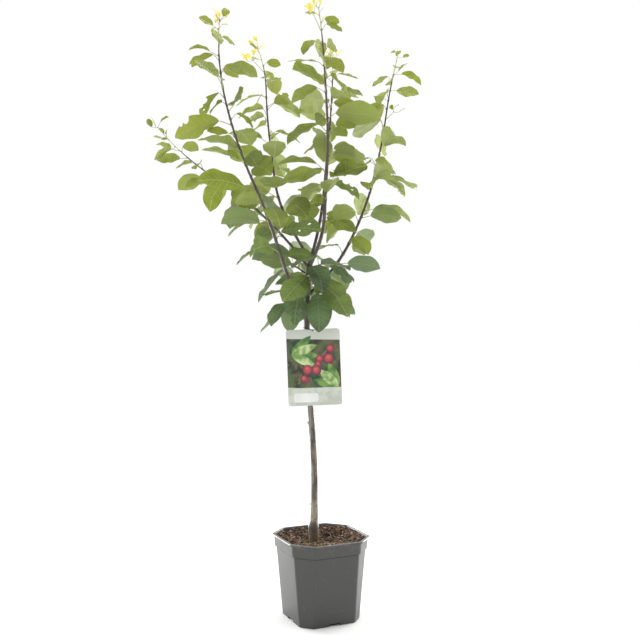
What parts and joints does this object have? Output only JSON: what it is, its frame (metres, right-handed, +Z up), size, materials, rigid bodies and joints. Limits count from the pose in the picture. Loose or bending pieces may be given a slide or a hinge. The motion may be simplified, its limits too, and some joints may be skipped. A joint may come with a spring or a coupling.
{
  "type": "potted plum tree",
  "caption": "Young plum tree with several upright leafy shoots on a slim trunk, in a square nursery pot, with a picture card tied on.",
  "frame": {"origin": "centre of the pot's flat underside", "axes": "+Z up along the trunk, -Y towards the face that carries the picture card, +X to the right of it"},
  "size_m": [0.6405, 0.457, 1.374],
  "materials": {
    "pot": "satin anthracite moulded plastic",
    "soil": "loose potting mix with bark chips and pale fibres",
    "bark": "matt grey-brown bark with lenticels",
    "young_wood": "smooth purplish grey-brown young wood with buds",
    "leaf": "thin satin leaf, bright mid green",
    "shade_leaf": "thin satin leaf, darker green",
    "card": "glossy printed plastic card",
    "tie": "thin black plastic tie"
  },
  "bodies": {
    "root": {"pot": "pot", "soil": "soil", "trunk": "bark", "bough_left_tall": "young_wood", "bough_right": "young_wood", "bough_left_low": "young_wood", "bough_left_mid": "young_wood", "bough_centre_front": "young_wood", "bough_centre_back": "young_wood", "leaves_spur_front": "shade_leaf", "leaves_spur_right": "shade_leaf", "leaves_spur_left": "shade_leaf", "leaves_spur_top_left": "shade_leaf", "leaves_spur_top_right": "shade_leaf", "leaves_left_tall": "leaf", "leaves_centre_front": "leaf", "leaves_right": "leaf", "leaves_left_mid": "leaf", "leaves_left_low": "leaf", "leaves_centre_back": "leaf", "leaves_spur_back": "shade_leaf", "label_card": "card", "label_tie": "tie"}
  },
  "joints": []
}
